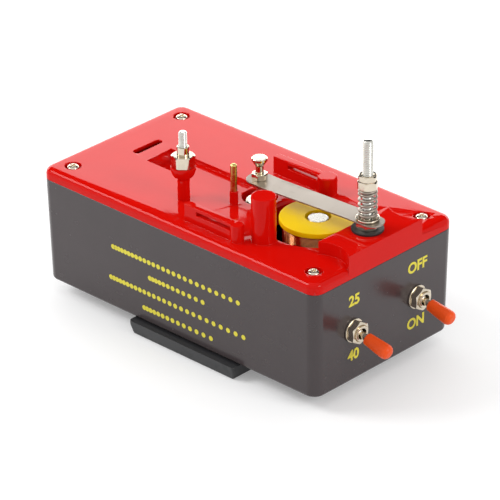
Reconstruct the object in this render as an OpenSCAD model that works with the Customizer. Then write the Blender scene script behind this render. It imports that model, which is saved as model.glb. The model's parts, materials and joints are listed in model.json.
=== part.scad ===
// Ticker timer: an electromagnet under a sprung steel strip makes a striker mark a paper tape.
// Millimetres, +Z up. +X points to the end with the two switches. The origin lies on the
// underside of the foot plate, under the middle of the case.

/* [Case] */
// Length of the case at its joint with the lid
case_l = 140; // [132:1:160]
// Width of the case at its joint with the lid
case_w = 75; // [72:1:90]
// Height of the case below the lid
case_h = 42.5; // [40:0.5:60]
// Thickness of the case walls
case_wall = 2.5; // [1.8:0.1:3]
// Thickness of the case floor
case_floor = 3; // [2:0.1:5]
// Lean of each wall between joint and floor
case_draft = 0.8; // [0:0.1:1.5]
// Radius of the upright corners of case and lid
corner_r = 4.5; // [3.5:0.1:7]
// Radius of the rounding along the bottom edge
bottom_r = 1.2; // [0.5:0.1:2]

/* [Foot plate] */
// Length of the foot plate along the case
foot_l = 54; // [48:1:80]
// Width of the foot plate across the case
foot_w = 80; // [76:1:100]
// Thickness of the foot plate
foot_h = 5.5; // [4:0.1:8]
// How far the foot plate sits towards the switch end
foot_x = 4.5; // [-5:0.5:8]
// Lean of the foot plate's sides
foot_taper = 1.3; // [0:0.1:3]
// Radius of the foot screws
foot_screw_r = 1.5; // [1.25:0.05:2]

/* [Lid] */
// Height of the lid's rim
lid_h = 4.5; // [4:0.1:8]
// Thickness of the lid's top
lid_t = 3; // [2.5:0.1:3.5]
// Thickness of the lid's rim
lid_wall = 2.5; // [2:0.1:3.5]
// Radius of the rounding along the lid's top edge
lid_fillet = 2.5; // [1:0.1:3.4]
// Depth of the locating rib inside the case
rib_h = 3; // [2:0.5:5]
// Distance of the lid screws from each side
screw_inset = 8.5; // [8:0.1:11]
// Radius of the lid screws
lid_screw_r = 1.5; // [1.25:0.05:1.75]
// Radius of the lid screws' heads
lid_head_r = 2.4; // [2.2:0.05:2.8]

/* [Platform and pivot] */
// Height of the platform above the lid
platform_h = 5.3; // [3:0.1:10]
// Length of the platform along the lid
platform_l = 15.8; // [15:0.1:20]
// Radius of the hollow round each lid screw in the platform's ends
scallop_r = 12.5; // [8:0.1:14]
// Distance of the pivot rod from the switch end
pivot_inset = 9; // [8:0.1:11]
// Radius of the pivot rod
rod_r = 2; // [1.5:0.05:2.3]
// Height of the pivot rod above the platform
rod_h = 35.9; // [32:0.1:50]
// Radius of the insulating washer under the pivot
washer_r = 6; // [5:0.1:7]
// Thickness of the insulating washer
washer_t = 1; // [0.5:0.1:2]
// Width across flats of the seat nut under the strip
seat_af = 7.6; // [7:0.1:9]
// Thickness of the seat nut
seat_t = 2.5; // [1.5:0.1:4]
// Width across flats of the tension nut
tension_af = 7; // [6.5:0.1:9]
// Thickness of the tension nut
tension_t = 3.2; // [2:0.1:5]
// Thickness of the lock nut on top
lock_t = 2.2; // [1.5:0.1:4]

/* [Spring] */
// Diameter of the spring wire
spring_wire = 1; // [0.6:0.05:1.1]
// Outside diameter of the spring
spring_od = 7.3; // [6.8:0.1:9]
// Fitted length of the spring
spring_l = 11.6; // [10:0.1:14]
// Number of curls
spring_curls = 5; // [4:1:6]

/* [Strip and striker] */
// Distance from pivot to striker
strip_span = 53.4; // [50:0.1:58]
// Radius of the strip's end at the striker
strip_end_r = 5; // [4.2:0.1:6]
// Radius of the strip's end at the pivot
strip_pivot_r = 4.5; // [4.2:0.1:6]
// Length of strip past the pivot rod
strip_tail = 2.3; // [0:0.1:3]
// Thickness of the strip
strip_t = 0.6; // [0.4:0.05:1]
// Drop of the strip from pivot to striker
strip_drop = 2; // [0:0.1:3]
// Radius of the striker screw
striker_r = 1.5; // [1.2:0.05:1.8]
// Radius of the striker screw's head
striker_head_r = 3; // [2.6:0.1:4]
// Height of the striker screw above the strip
striker_h = 8.8; // [7:0.1:12]
// Width across flats of the striker's nuts
striker_af = 5.5; // [5:0.1:6.5]
// Thickness of each of the striker's nuts
striker_nut_t = 2.4; // [1.6:0.1:2.8]
// Gap between striker and anvil at rest
strike_gap = 0.9; // [0.9:0.05:1.5]
// Radius of the anvil
anvil_r = 5.9; // [4:0.1:6.2]
// Thickness of the anvil's head
anvil_h = 1.2; // [0.8:0.1:1.8]

/* [Electromagnet] */
// Distance of the electromagnet from the pivot
magnet_back = 24.2; // [23:0.1:25]
// Radius of the bobbin's flanges
bobbin_r = 14.3; // [12:0.1:15]
// Height of the bobbin
bobbin_h = 26; // [20:0.5:28]
// Thickness of each flange
flange_t = 2; // [1.2:0.1:3]
// Height of the bobbin above the lid
bobbin_up = 2.2; // [1:0.1:3]
// Radius of the iron core
core_r = 3.85; // [3:0.05:4.5]
// Radius of the sunk ring round the core
core_ring_r = 4.75; // [4.6:0.05:6]
// Radius of the winding's plain inner layers
winding_r = 12.6; // [10:0.1:13]
// Diameter of the wire in the outer layer
wire_d = 0.45; // [0.3:0.01:0.5]
// Number of turns drawn in the outer layer
wire_loops = 21; // [8:1:22]
// Radius of the well in the lid
well_r = 19.5; // [17:0.1:20]

/* [Lid furniture] */
// Length of the front tape guide's slit
front_slit_l = 17.3; // [12:0.1:18]
// Length of the back tape guide's slit
back_slit_l = 16; // [12:0.1:18]
// Height of the slit
slit_h = 1.5; // [1:0.1:2]
// Height of the slit above the lid
slit_z = 4; // [2:0.1:5]
// Height of the tape guides above the lid
guide_h = 6.9; // [6.5:0.1:12]
// Thickness of the tape guides
guide_t = 3.3; // [2:0.1:4]
// Radius of the pillar beside the front guide
pillar_r = 4.6; // [3:0.1:5]
// Height of the pillar
pillar_h = 18; // [8:0.1:20]
// Radius of the disc pin
pin_r = 1.25; // [1:0.05:1.6]
// Free length of the disc pin
pin_l = 11; // [6:0.5:16]
// Height of the disc pin's boss
pin_boss_h = 5.5; // [3:0.1:8]
// Width of the channel
channel_w = 13.2; // [10:0.1:14]
// Length of the channel
channel_l = 44.2; // [30:0.1:45]
// Depth of the channel at its deep end
channel_d = 5.5; // [4:0.1:7]
// Length of the tape slot across the lid
slot_l = 14.2; // [10:0.1:16]
// Width of the tape slot
slot_w = 3; // [1.5:0.1:3.6]

/* [Post] */
// Radius of the post's stem
stem_r = 2.3; // [2.2:0.1:3]
// Radius of the post's head
post_r = 4.7; // [4:0.1:6]
// Height of the post's sleeve
post_h = 13.5; // [10:0.1:18]
// Thickness of the post's nut
post_nut_t = 4.6; // [3:0.1:6]
// Turn of the post's nut
post_nut_turn = 18; // [0:1:30]
// Radius of the post's stud
stud_r = 1.6; // [1.25:0.05:1.7]
// Height of the stud above the lid
stud_h = 27.5; // [24:0.1:34]

/* [Switches and sockets] */
// Half the distance between the two switches
switch_y = 17.1; // [14:0.1:20]
// Depth of the switches below the joint
switch_drop = 21.2; // [18:0.1:22]
// Radius of the switch bushings
bushing_r = 3; // [2.9:0.05:3.4]
// Length of bushing outside the wall
bushing_out = 4.6; // [4.5:0.1:6]
// Width across flats of the bushing nuts
bushing_af = 8; // [7.5:0.1:10]
// Tilt of each lever from the middle
lever_tilt = 12.5; // [8:0.5:14]
// Length of each lever from its pivot to the sleeve's tip
lever_l = 15.6; // [14:0.1:24]
// Radius of the lever sleeves
sleeve_r = 2.8; // [2:0.1:3]
// Length of the lever sleeves
sleeve_l = 11; // [8:0.1:11]
// Distance between the supply sockets
socket_pitch = 19; // [16:0.5:24]
// Radius of the sockets' bores
socket_bore_r = 2; // [1.8:0.05:2.2]

/* [Circuit board] */
// Length of the circuit board
board_l = 56; // [54:1:60]
// Width of the circuit board
board_w = 44; // [44:1:46]
// Thickness of the circuit board
board_t = 1.6; // [1:0.1:2]
// Height of the board above the case floor
board_up = 6; // [5.5:0.5:8]

/* [Hidden] */
$fn = 48;
hull_fn = 32;

// Clearances
fit = 0.05;          // shaft in its own hole
seat_gap = 0.15;     // moving strip to what it rocks on
part_gap = 0.2;      // moulding to moulding
clear_r = 0.3;       // rod in the strip's hole
sliver = 0.01;       // overlap that joins or cuts cleanly

// Heights
z_floor = foot_h + case_floor;
z_joint = foot_h + case_h;
z_top = z_joint + lid_h;
z_under = z_top - lid_t;
z_platform = z_top + platform_h;
z_seat = z_platform + washer_t + seat_t;
z_strip = z_seat + seat_gap;
z_spring_washer = z_strip + strip_t + seat_gap;
spring_washer_t = 0.8;
z_spring = z_spring_washer + spring_washer_t;
z_tension = z_spring + spring_l;
z_striker = z_strip - strip_drop;
anvil_sink = 2.2;    // how far its seat lies below the lid's top
z_anvil = z_top - anvil_sink + anvil_h;
z_bobbin = z_top + bobbin_up;
z_yoke = z_bobbin - bobbin_h;
z_switch = z_joint - switch_drop;
z_board = z_floor + board_up;

// Places along and across
end_x = case_l / 2;
pivot_x = end_x - pivot_inset;
striker_x = pivot_x - strip_span;
magnet_x = pivot_x - magnet_back;
platform_x = end_x - platform_l;
screw_l = case_l - 2 * screw_inset;
screw_w = case_w - 2 * screw_inset;
pin_x = striker_x - 2.9;
pin_y = -10.7;
post_x = striker_x - 19.6;
post_y = -20;
pillar_turn = 259;
pillar_away = well_r + pillar_r + 0.15;
pillar_x = magnet_x + pillar_away * cos(pillar_turn);
pillar_y = pillar_away * sin(pillar_turn);
channel_x = striker_x - 7.9;
channel_y = -0.4;
channel_shallow = 1.8;
channel_deep_l = 9;
channel_ramp_l = 4.5;
channel_shell = 1.5;
channel_end_r = 2.5;
slot_x = channel_x - channel_l - 7.9;
slot_y = 1.5;
front_guide_x = striker_x - 7.1;
front_guide_y = -case_w / 2 + lid_fillet + 2.5;
back_guide_x = striker_x - 9.9;
back_guide_y = 17.7;
front_guide_end = 6;
back_guide_end = 7.4;
front_column_r = 2.6;
back_column_r = 3.7;
column_gap = 0.7;    // share of the column's radius between its middle and the slit

// Small parts
boss_r = 4;
boss_bore = 7;
recess_extra = 0.8;
head_h = 1.9;
head_sink = 1.6;
well_chamfer = 1;
anvil_shank_r = 2;
anvil_shank_l = 9;
nut_t = 3.2;
rod_below = 8;
pin_spigot_r = 0.9;
pin_boss_r = 1.6;
collar_t = 1.6;
collar_h = 5;
yoke_t = 3;
yoke_w = 14;
yoke_arm = 19;
yoke_end = 5;
yoke_screw_r = 1.5;
core_sink = 0.6;
core_thread_r = 2;
core_thread_l = 8;
bobbin_wall = 1.7;
tail_below = 3;
switch_case_l = 10;
switch_case_w = 7.2;
switch_case_h = 13.2;
frame_t = 1;
switch_nut_t = 3;
switch_washer_t = 0.8;
switch_stand = 0.12;
lever_pivot_out = 2.4;
lever_bore_r = 2.1;
lever_ball_r = 1.95;
lever_neck_r = 1.2;
lever_tip_r = 1.5;
pin_len = 5;
socket_flange_r = 5.4;
socket_flange_t = 2.6;
socket_body_r = 4;
socket_body_l = 17;
socket_tube_wall = 0.8;
board_post_r = 3;
board_hole_r = 1.25;
board_inset = 4;
lead_r = 0.6;
lead_sides = 8;
lead_rings = 9;

case_grey = [0.33, 0.31, 0.31];
lid_red = [0.80, 0.06, 0.06];
nickel = [0.78, 0.77, 0.74];
zinc = [0.72, 0.72, 0.70];
sleeve_red = [0.85, 0.16, 0.08];
black = [0.10, 0.10, 0.11];
brass = [0.72, 0.62, 0.30];

// ---------- helpers ----------

module at_corners(l, w)
    for (x = [-1, 1], y = [-1, 1]) translate([x * l / 2, y * w / 2, 0]) children();

module round_rect(l, w, r) {
    square([l - 2 * r, w], center = true);
    square([l, w - 2 * r], center = true);
    at_corners(l - 2 * r, w - 2 * r) circle(r);
}

module hex(af, h) cylinder(d = af / cos(30), h = h, $fn = 6);

// A nut with its flats chamfered at both ends
module nut(af, h, hole_r) {
    chamfer = 0.12 * h;
    round_r = af / 2;
    difference() {
        intersection() {
            hex(af, h);
            rotate_extrude() polygon([
                [0, 0], [round_r, 0], [round_r * 1.18, chamfer * 1.4],
                [round_r * 1.18, h - chamfer * 1.4], [round_r, h], [0, h]]);
        }
        translate([0, 0, -sliver]) cylinder(r = hole_r, h = h + 2 * sliver);
    }
}

module washer(r, t, hole_r) difference() {
    cylinder(r = r, h = t);
    translate([0, 0, -sliver]) cylinder(r = hole_r, h = t + 2 * sliver);
}

// A pan-head screw with a cross recess: the head stands on z = 0 and the shank hangs below
module pan_screw(head_r, h, shank_r, shank_l) {
    difference() {
        rotate_extrude() polygon([
            [0, 0], [head_r, 0], [head_r, h * 0.45], [head_r * 0.9, h * 0.75],
            [head_r * 0.65, h * 0.95], [0, h]]);
        for (turn = [0, 90]) rotate(turn)
            translate([-head_r * 0.55, -head_r * 0.13, h * 0.45])
                cube([head_r * 1.1, head_r * 0.26, h]);
    }
    translate([0, 0, -shank_l]) cylinder(r = shank_r, h = shank_l + sliver);
}

// A countersunk screw that points up: the head's flat face is on z = 0
module sunk_screw(head_r, shank_r, shank_l) {
    head = head_r - shank_r;
    difference() {
        union() {
            cylinder(r1 = head_r, r2 = shank_r, h = head);
            translate([0, 0, head - sliver]) cylinder(r = shank_r, h = shank_l - head);
        }
        for (turn = [0, 90]) rotate(turn)
            translate([-head_r * 0.5, -head_r * 0.12, -sliver])
                cube([head_r, head_r * 0.24, head * 0.6]);
    }
}

function unit(v) = v / norm(v);
function tangents(p) = [for (i = [0 : len(p) - 1])
    unit(p[min(i + 1, len(p) - 1)] - p[max(i - 1, 0)])];
function carried(t, n, i = 0, out = []) = i == len(t) ? out :
    let (m = unit(n - (n * t[i]) * t[i])) carried(t, m, i + 1, concat(out, [m]));

// One unbroken tube along a list of points
module tube(path, r, sides, start_normal) {
    t = tangents(path);
    n = carried(t, start_normal);
    count = len(path);
    points = [for (i = [0 : count - 1], s = [0 : sides - 1])
        let (a = 360 * s / sides)
        path[i] + r * (cos(a) * n[i] + sin(a) * cross(t[i], n[i]))];
    walls = [for (i = [0 : count - 2], s = [0 : sides - 1], half = [0, 1])
        let (a = i * sides + s, b = i * sides + (s + 1) % sides, c = a + sides, d = b + sides)
        half == 0 ? [a, c, b] : [b, c, d]];
    caps = concat(
        [for (s = [1 : sides - 2]) [0, s, s + 1]],
        [for (s = [1 : sides - 2]) let (e = (count - 1) * sides) [e, e + s + 1, e + s]]);
    polyhedron(points, concat(walls, caps), convexity = 8);
}

// A helix about Z whose ends run straight up and down for one wire diameter
function helix(r, z0, z1, turns, rings, d) = concat(
    [[r, 0, z0]],
    [for (i = [0 : turns * rings]) let (a = 360 * i / rings, part = i / (turns * rings))
        [r * cos(a), r * sin(a), z0 + d + part * (z1 - z0 - 2 * d)]],
    [[r * cos(360 * turns), r * sin(360 * turns), z1]]);

// Least distance between a helix's own turns, from point to point, less the wire
function least_gap(path, rings, d) =
    min([for (i = [0 : len(path) - 1 - rings], k = [rings - 1 : rings + 1])
        if (i + k < len(path)) norm(path[i] - path[i + k])]) - d;

function bezier(a, b, c, d, count) = [for (i = [0 : count - 1])
    let (t = i / (count - 1), s = 1 - t)
    s * s * s * a + 3 * s * s * t * b + 3 * s * t * t * c + t * t * t * d];

// ---------- case ----------

module case_blank(grow, floor_z, round_r) hull() {
    r = corner_r + grow;
    at_corners(case_l - 2 * corner_r, case_w - 2 * corner_r)
        translate([0, 0, z_joint - sliver]) cylinder(r = r, h = sliver, $fn = hull_fn);
    at_corners(case_l - 2 * corner_r - 2 * case_draft, case_w - 2 * corner_r - 2 * case_draft)
        translate([0, 0, floor_z + round_r]) rotate_extrude($fn = hull_fn)
            translate([r - round_r, 0]) circle(round_r, $fn = 16);
}

module case_cavity() {
    case_blank(-case_wall, z_floor, min(bottom_r, corner_r - case_wall) * 0.8);
    translate([0, 0, z_joint - 2 * sliver]) linear_extrude(1)
        round_rect(case_l - 2 * case_wall, case_w - 2 * case_wall, corner_r - case_wall);
}

yoke_posts = [magnet_x - yoke_arm, magnet_x + yoke_arm];
board_mid_x = -end_x + 8 + board_l / 2;
module at_board_holes() translate([board_mid_x, 0, 0])
    at_corners(board_l - 2 * board_inset, board_w - 2 * board_inset) children();
module at_foot_screws() translate([foot_x, 0, 0]) at_corners(foot_l - 18, foot_w - 30) children();

module base_case() color(case_grey) difference() {
    union() {
        difference() {
            case_blank(0, foot_h, bottom_r);
            case_cavity();
        }
        at_corners(screw_l, screw_w) translate([0, 0, foot_h + 1])
            cylinder(r = boss_r, h = case_h - 1);
        for (x = [-1, 1], y = [-1, 1]) translate([x * screw_l / 2, y * screw_w / 2, 0])
            translate([0, -0.75, foot_h + 1]) mirror([x < 0 ? 1 : 0, 0, 0])
                cube([screw_inset - case_draft - 0.5, 1.5, case_h - rib_h - 2]);
        for (x = yoke_posts) translate([x, 0, foot_h + 1])
            cylinder(r = boss_r, h = z_yoke - yoke_t - foot_h - 1);
        at_board_holes() translate([0, 0, foot_h + 1]) cylinder(r = board_post_r, h = z_board - foot_h - 1);
        at_foot_screws() translate([0, 0, foot_h + 1]) cylinder(r = 3.5, h = case_floor + 3);
    }
    at_corners(screw_l, screw_w) translate([0, 0, z_joint - 12])
        cylinder(r = lid_screw_r + fit, h = 13);
    for (x = yoke_posts) translate([x, 0, z_yoke - yoke_t - 9]) cylinder(r = yoke_screw_r + fit, h = 10);
    at_board_holes() translate([0, 0, z_board - 6]) cylinder(r = board_hole_r, h = 7);
    at_foot_screws() translate([0, 0, foot_h - 1]) cylinder(r = foot_screw_r + fit, h = 6);
    for (side = [-1, 1]) at_switch(side) translate([0, 0, -8]) cylinder(r = bushing_r + fit, h = 12);
    for (side = [-1, 1]) at_socket(side) translate([0, 0, -8]) cylinder(r = socket_body_r + fit, h = 12);
}

module foot_plate() color(black) difference() {
    translate([foot_x, 0, 0]) intersection() {
        rotate([90, 0, 0]) linear_extrude(foot_w, center = true) polygon([
            [-foot_l / 2 + foot_taper, 0], [foot_l / 2 - foot_taper, 0],
            [foot_l / 2, foot_h], [-foot_l / 2, foot_h]]);
        rotate([90, 0, 90]) linear_extrude(foot_l, center = true) polygon([
            [-foot_w / 2 + foot_taper, 0], [foot_w / 2 - foot_taper, 0],
            [foot_w / 2, foot_h], [-foot_w / 2, foot_h]]);
        linear_extrude(foot_h) round_rect(foot_l, foot_w, 1.5);
    }
    at_foot_screws() {
        translate([0, 0, -sliver]) cylinder(r = foot_screw_r + fit, h = foot_h + 1);
        translate([0, 0, 0.3 - sliver])
            cylinder(r1 = 2 * foot_screw_r + fit, r2 = foot_screw_r + fit, h = foot_screw_r);
        translate([0, 0, -sliver]) cylinder(r = 2 * foot_screw_r + fit, h = 0.3);
    }
}

module foot_screws() color(zinc) at_foot_screws() translate([0, 0, 0.3])
    sunk_screw(2 * foot_screw_r, foot_screw_r, foot_h + 4);

// ---------- lid ----------

module lid_blank() hull() at_corners(case_l - 2 * corner_r, case_w - 2 * corner_r)
    translate([0, 0, z_joint]) {
        cylinder(r = corner_r, h = lid_h - lid_fillet, $fn = hull_fn);
        translate([0, 0, lid_h - lid_fillet]) rotate_extrude($fn = hull_fn) intersection() {
            translate([corner_r - lid_fillet, 0]) circle(lid_fillet, $fn = 20);
            square([corner_r, lid_fillet]);
        }
    }

// The platform is flush with the lid's end, and its ends are hollowed round the lid screws
module platform() difference() {
    translate([platform_x, -screw_w / 2, z_joint]) cube([platform_l, screw_w, lid_h + platform_h]);
    for (y = [-1, 1]) translate([screw_l / 2, y * screw_w / 2, z_joint - sliver])
        cylinder(r = scallop_r, h = lid_h + platform_h + 1);
}

module tape_guide(end, slit_l, column_r) translate([0, 0, -1]) {
    middle = end + slit_l + column_gap * column_r;
    cube([middle, guide_t, guide_h + 1]);
    translate([middle, guide_t / 2, 0]) cylinder(r = column_r, h = guide_h + 1);
}

module slit(end, slit_l) translate([end, -5, slit_z]) cube([slit_l, guide_t + 10, slit_h]);

// The well stops at the platform, and its upper edge is chamfered
module magnet_well() difference() {
    translate([magnet_x, 0, 0]) {
        translate([0, 0, z_under - collar_h - 1]) cylinder(r = well_r, h = collar_h + lid_t + 2);
        translate([0, 0, z_top - well_chamfer])
            cylinder(r1 = well_r, r2 = well_r + 2 * well_chamfer, h = 2 * well_chamfer);
    }
    translate([platform_x, -case_w, z_joint - 20]) cube([case_l, 2 * case_w, 40]);
}

// Side outline of the channel's hollow: a deep pocket at the far end, a short ramp, then shallow
module channel_hollow(extra) rotate([90, 0, 0]) linear_extrude(channel_w + 2 * extra, center = true)
    polygon([
        [-channel_l - extra, 1 - extra], [-channel_l - extra, -channel_d - extra],
        [-channel_l + channel_deep_l, -channel_d - extra],
        [-channel_l + channel_deep_l + channel_ramp_l, -channel_shallow - extra],
        [extra, -channel_shallow - extra], [extra, 1 - extra]]);

module lid() color(lid_red) difference() {
    union() {
        difference() {
            union() {
                lid_blank();
                platform();
            }
            translate([0, 0, z_joint - sliver]) linear_extrude(lid_h - lid_t + sliver)
                round_rect(case_l - 2 * lid_wall, case_w - 2 * lid_wall, corner_r - lid_wall);
            magnet_well();
        }
        difference() {
            translate([magnet_x, 0, z_under - collar_h]) cylinder(r = well_r + collar_t, h = collar_h + 1);
            magnet_well();
            translate([platform_x + 1, -case_w, z_joint - 20]) cube([case_l, 2 * case_w, 40]);
        }
        translate([0, 0, z_joint - rib_h]) linear_extrude(rib_h + lid_h - lid_t + sliver)
            difference() {
                round_rect(case_l - 2 * case_wall - 2 * part_gap, case_w - 2 * case_wall - 2 * part_gap,
                    corner_r - case_wall - part_gap);
                square([case_l - 2 * case_wall - 2 * part_gap - 3, case_w - 2 * case_wall - 2 * part_gap - 3],
                    center = true);
            }
        at_corners(screw_l, screw_w) translate([0, 0, z_joint]) cylinder(r = boss_r, h = lid_h - lid_t + 1);
        intersection() {
            translate([channel_x, channel_y, z_top]) channel_hollow(channel_shell);
            translate([-case_l, -case_w, 0]) cube([2 * case_l, 2 * case_w, z_top - 1]);
        }
        translate([striker_x, 0, z_under - 2]) cylinder(r = anvil_r + 1.6, h = 3);
        translate([front_guide_x, front_guide_y, z_top])
            tape_guide(front_guide_end, front_slit_l, front_column_r);
        translate([back_guide_x, back_guide_y, z_top])
            tape_guide(back_guide_end, back_slit_l, back_column_r);
        translate([pillar_x, pillar_y, z_top - 1]) cylinder(r = pillar_r, h = pillar_h + 1);
        translate([pin_x, pin_y, z_top - 1]) cylinder(r = pin_boss_r, h = pin_boss_h + 1);
        translate([pin_x, pin_y, z_under - 3]) cylinder(r = 3, h = 4);
    }
    at_corners(screw_l, screw_w) translate([0, 0, z_joint - 1]) {
        cylinder(r = lid_screw_r + 0.15, h = lid_h + 2);
        translate([0, 0, 1 + lid_h - head_sink]) cylinder(r = lid_head_r + recess_extra, h = lid_h);
    }
    translate([pivot_x, 0, z_joint]) cylinder(r = rod_r + fit, h = lid_h + platform_h + 1);
    intersection() {
        translate([channel_x, channel_y, z_top]) channel_hollow(0);
        translate([channel_x - channel_l / 2, channel_y, z_top - channel_d - 1])
            linear_extrude(channel_d + 3) union() {
                translate([-channel_l / 2, -channel_w / 2]) square([channel_l - channel_end_r, channel_w]);
                translate([0, 0]) round_rect(channel_l, channel_w, channel_end_r);
            }
    }
    translate([slot_x, slot_y, z_joint - 1]) linear_extrude(lid_h + 2)
        round_rect(slot_w, slot_l, slot_w / 2 - 0.2);
    translate([striker_x, 0, z_top - anvil_sink]) cylinder(r = anvil_r + 0.8, h = 2 * anvil_sink);
    translate([striker_x, 0, z_joint - 3]) cylinder(r = anvil_shank_r + fit, h = lid_h + 4);
    translate([front_guide_x, front_guide_y, z_top]) slit(front_guide_end, front_slit_l);
    translate([back_guide_x, back_guide_y, z_top]) slit(back_guide_end, back_slit_l);
    translate([pin_x, pin_y, z_under - 1]) cylinder(r = pin_spigot_r + fit, h = lid_t + pin_boss_h + 2);
    translate([post_x, post_y, z_joint - 1]) cylinder(r = stud_r + fit, h = lid_h + 2);
}

module lid_screws() color(nickel) at_corners(screw_l, screw_w)
    translate([0, 0, z_top - head_sink]) pan_screw(lid_head_r, head_h, lid_screw_r, 12);

// ---------- pivot ----------

module pivot_rod() color(zinc) translate([pivot_x, 0, z_under - rod_below]) {
    shank = rod_below + lid_t + platform_h + rod_h - 0.4;
    cylinder(r = rod_r, h = shank);
    translate([0, 0, shank]) cylinder(r1 = rod_r, r2 = rod_r - 0.4, h = 0.4);
}

module pivot_washer() color(black) translate([pivot_x, 0, z_platform])
    washer(washer_r, washer_t, rod_r + fit);

module pivot_seat_nut() color(nickel) translate([pivot_x, 0, z_platform + washer_t])
    nut(seat_af, seat_t, rod_r + fit);

module pivot_lower_nut() color(nickel) translate([pivot_x, 0, z_under - nut_t])
    nut(tension_af, nut_t, rod_r + fit);

module spring_washer() color(nickel) translate([pivot_x, 0, z_spring_washer])
    washer(4.4, spring_washer_t, rod_r + fit);

spring_rings = 8;
spring_sides = 6;
spring_path = helix((spring_od - spring_wire) / 2, z_spring, z_tension, spring_curls,
    spring_rings, spring_wire);
echo(spring_least_gap = least_gap(spring_path, spring_rings, spring_wire));
module pivot_spring() color(zinc) translate([pivot_x, 0, 0])
    tube(spring_path, spring_wire / 2, spring_sides, [1, 0, 0]);

module tension_nut() color(nickel) translate([pivot_x, 0, z_tension]) nut(tension_af, tension_t, rod_r + fit);

module lock_nut() color(nickel) translate([pivot_x, 0, z_tension + tension_t])
    nut(tension_af - 0.6, lock_t, rod_r + fit);

// ---------- strip and striker ----------

// Both ends lie level, and the stretch between them slopes down to the striker
module vibrating_strip() color(nickel) difference() {
    intersection() {
        translate([0, 0, z_striker - 1]) linear_extrude(strip_drop + strip_t + 2) {
            translate([striker_x, 0]) circle(strip_end_r);
            translate([pivot_x + strip_tail, 0]) circle(strip_pivot_r);
            polygon([
                [striker_x, -strip_end_r], [pivot_x + strip_tail, -strip_pivot_r],
                [pivot_x + strip_tail, strip_pivot_r], [striker_x, strip_end_r]]);
        }
        rotate([90, 0, 0]) linear_extrude(4 * strip_end_r, center = true) {
            low_x = striker_x + strip_end_r + 1;
            high_x = pivot_x - strip_end_r - 1;
            polygon([
                [striker_x - 2 * strip_end_r, z_striker], [low_x, z_striker],
                [high_x, z_strip], [pivot_x + 20, z_strip],
                [pivot_x + 20, z_strip + strip_t], [high_x, z_strip + strip_t],
                [low_x, z_striker + strip_t], [striker_x - 2 * strip_end_r, z_striker + strip_t]]);
        }
    }
    translate([pivot_x, 0, z_striker]) cylinder(r = rod_r + clear_r, h = strip_drop + 5);
    translate([striker_x, 0, z_striker - 1]) cylinder(r = striker_r + fit, h = strip_t + 2);
}

module striker_nuts() color(nickel) translate([striker_x, 0, z_striker]) {
    translate([0, 0, strip_t]) nut(striker_af, striker_nut_t, striker_r + fit);
    translate([0, 0, -striker_nut_t]) nut(striker_af, striker_nut_t, striker_r + fit);
}

module striker_screw() color(nickel) translate([striker_x, 0, 0]) {
    top = z_striker + strip_t + striker_h;
    tip = z_anvil + strike_gap;
    rotate_extrude() polygon([
        [0, tip], [0.7, tip], [striker_r, tip + 0.8], [striker_r, top - 3.4],
        [striker_head_r, top - 1.2], [striker_head_r, top - 0.3],
        [striker_head_r - 0.3, top], [0, top]]);
}

module anvil() color(nickel) translate([striker_x, 0, 0]) rotate_extrude() polygon([
    [0, z_under - anvil_shank_l + lid_t], [anvil_shank_r, z_under - anvil_shank_l + lid_t],
    [anvil_shank_r, z_top - anvil_sink], [anvil_r, z_top - anvil_sink],
    [anvil_r, z_anvil - 0.6], [anvil_r - 0.9, z_anvil], [0, z_anvil]]);

module anvil_nut() color(nickel) translate([striker_x, 0, z_under - 2 - nut_t])
    nut(tension_af, nut_t, anvil_shank_r + fit);

// ---------- electromagnet ----------

module bobbin() color([0.95, 0.78, 0.05]) translate([magnet_x, 0, z_yoke]) difference() {
    union() {
        cylinder(r = bobbin_r, h = flange_t);
        cylinder(r = core_r + fit + bobbin_wall, h = bobbin_h);
        translate([0, 0, bobbin_h - flange_t]) cylinder(r = bobbin_r, h = flange_t);
    }
    translate([0, 0, -1]) cylinder(r = core_r + fit, h = bobbin_h + 2);
    translate([0, 0, bobbin_h - flange_t + 0.4]) cylinder(r = core_ring_r, h = flange_t);
}

module winding_core() color([0.65, 0.38, 0.18]) translate([magnet_x, 0, z_yoke + flange_t])
    washer(winding_r, bobbin_h - 2 * flange_t, core_r + bobbin_wall + 2 * fit);

wire_rings = 24;
wire_sides = 6;
wire_sag = 0.12;
wire_path = helix(winding_r + wire_d / 2 + wire_sag, z_yoke + flange_t, z_bobbin - flange_t,
    wire_loops, wire_rings, wire_d);
echo(wire_least_gap = least_gap(wire_path, wire_rings, wire_d));
module winding_wire() color([0.75, 0.42, 0.18]) translate([magnet_x, 0, 0])
    tube(wire_path, wire_d / 2, wire_sides, [1, 0, 0]);

module magnet_core() color(zinc) translate([magnet_x, 0, z_yoke]) difference() {
    cylinder(r = core_r, h = bobbin_h - core_sink);
    translate([0, 0, -1]) cylinder(r = core_thread_r + fit, h = core_thread_l + 1);
}

module magnet_yoke() color(zinc) translate([magnet_x, 0, z_yoke - yoke_t]) difference() {
    linear_extrude(yoke_t) round_rect(2 * (yoke_arm + yoke_end), yoke_w, 2);
    translate([0, 0, -1]) cylinder(r = core_thread_r + fit, h = yoke_t + 2);
    for (side = [-1, 1]) translate([side * yoke_arm, 0, -1])
        cylinder(r = yoke_screw_r + fit, h = yoke_t + 2);
}

module core_screw() color(nickel) translate([magnet_x, 0, z_yoke - yoke_t]) mirror([0, 0, 1])
    pan_screw(3.8, 2.4, core_thread_r, yoke_t + core_thread_l - 1);

module yoke_screws() color(nickel) for (x = yoke_posts) translate([x, 0, z_yoke])
    pan_screw(2.7, 1.9, yoke_screw_r, yoke_t + 8);

// ---------- pin and post ----------

module disc_pin() color(brass) translate([pin_x, pin_y, z_top + pin_boss_h]) rotate_extrude()
    polygon([
        [0, -pin_boss_h - lid_t], [pin_spigot_r, -pin_boss_h - lid_t], [pin_spigot_r, 0],
        [pin_r, 0], [pin_r, pin_l - 0.5], [pin_r - 0.5, pin_l], [0, pin_l]]);

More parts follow.
